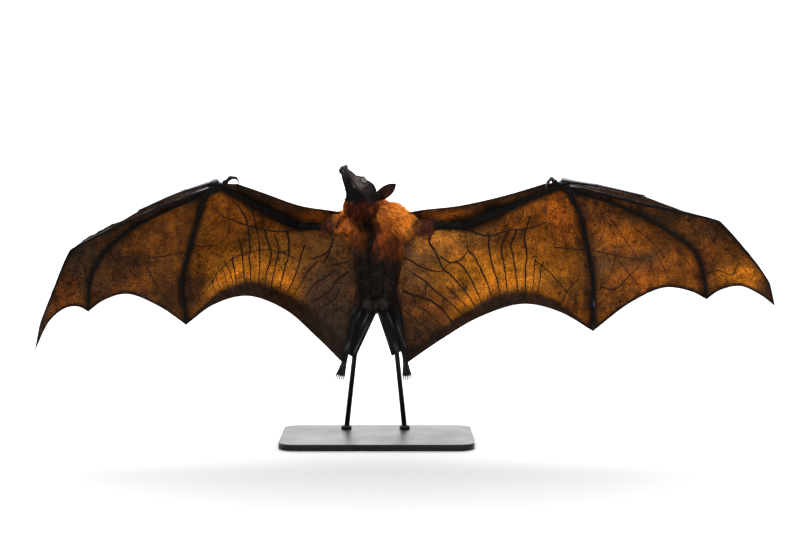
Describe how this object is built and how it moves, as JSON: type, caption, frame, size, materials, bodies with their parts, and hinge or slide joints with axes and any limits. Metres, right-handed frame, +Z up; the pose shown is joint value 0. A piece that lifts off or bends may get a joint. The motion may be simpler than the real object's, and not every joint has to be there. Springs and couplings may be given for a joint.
{
  "type": "flying fox bat on display stand",
  "caption": "Life-size flying fox bat gliding with both wings spread and its belly to the viewer, held by two short rods on a flat base.",
  "frame": {"origin": "centre of the flat underside of the stand's base", "axes": "+Z up, +X towards the bat's left wing tip and along the wings, -Y the way its belly faces"},
  "size_m": [1.1482, 0.2004, 0.4316],
  "materials": {
    "head_fur": "short charcoal fur, greyer on the muzzle",
    "mantle_fur": "ruffled golden orange mantle fur with a dark brown throat and breast",
    "body_fur": "short black-brown belly fur",
    "wing_membrane": "thin translucent orange-brown skin with dark veins and a dark rear edge",
    "limb_skin": "bare black skin with a soft sheen",
    "claw": "polished black horn",
    "eye": "wet dark brown",
    "stand_metal": "satin black powder coat"
  },
  "bodies": {
    "root": {"head": "head_fur", "neck": "mantle_fur", "chest": "mantle_fur", "belly": "body_fur", "eye_left": "eye", "eye_right": "eye", "ear_left": "limb_skin", "ear_right": "limb_skin", "testes": "limb_skin", "upper_arm_left": "limb_skin", "forearm_left": "limb_skin", "digit2_left": "limb_skin", "digit3_left": "limb_skin", "digit4_left": "limb_skin", "digit5_left": "limb_skin", "thumb_left": "limb_skin", "thumb_claw_left": "claw", "digit2_claw_left": "claw", "thigh_left": "limb_skin", "shank_left": "limb_skin", "foot_left": "limb_skin", "toe_claw_left_1": "claw", "toe_claw_left_2": "claw", "toe_claw_left_3": "claw", "toe_claw_left_4": "claw", "toe_claw_left_5": "claw", "front_membrane_left": "wing_membrane", "membrane_2_3_left": "wing_membrane", "membrane_3_4_left": "wing_membrane", "membrane_4_5_left": "wing_membrane", "body_membrane_left": "wing_membrane", "leg_flap_left": "limb_skin", "upper_arm_right": "limb_skin", "forearm_right": "limb_skin", "digit2_right": "limb_skin", "digit3_right": "limb_skin", "digit4_right": "limb_skin", "digit5_right": "limb_skin", "thumb_right": "limb_skin", "thumb_claw_right": "claw", "digit2_claw_right": "claw", "thigh_right": "limb_skin", "shank_right": "limb_skin", "foot_right": "limb_skin", "toe_claw_right_1": "claw", "toe_claw_right_2": "claw", "toe_claw_right_3": "claw", "toe_claw_right_4": "claw", "toe_claw_right_5": "claw", "front_membrane_right": "wing_membrane", "membrane_2_3_right": "wing_membrane", "membrane_3_4_right": "wing_membrane", "membrane_4_5_right": "wing_membrane", "body_membrane_right": "wing_membrane", "leg_flap_right": "limb_skin", "stand_base": "stand_metal", "stand_rod_left": "stand_metal", "stand_rod_right": "stand_metal"}
  },
  "joints": []
}
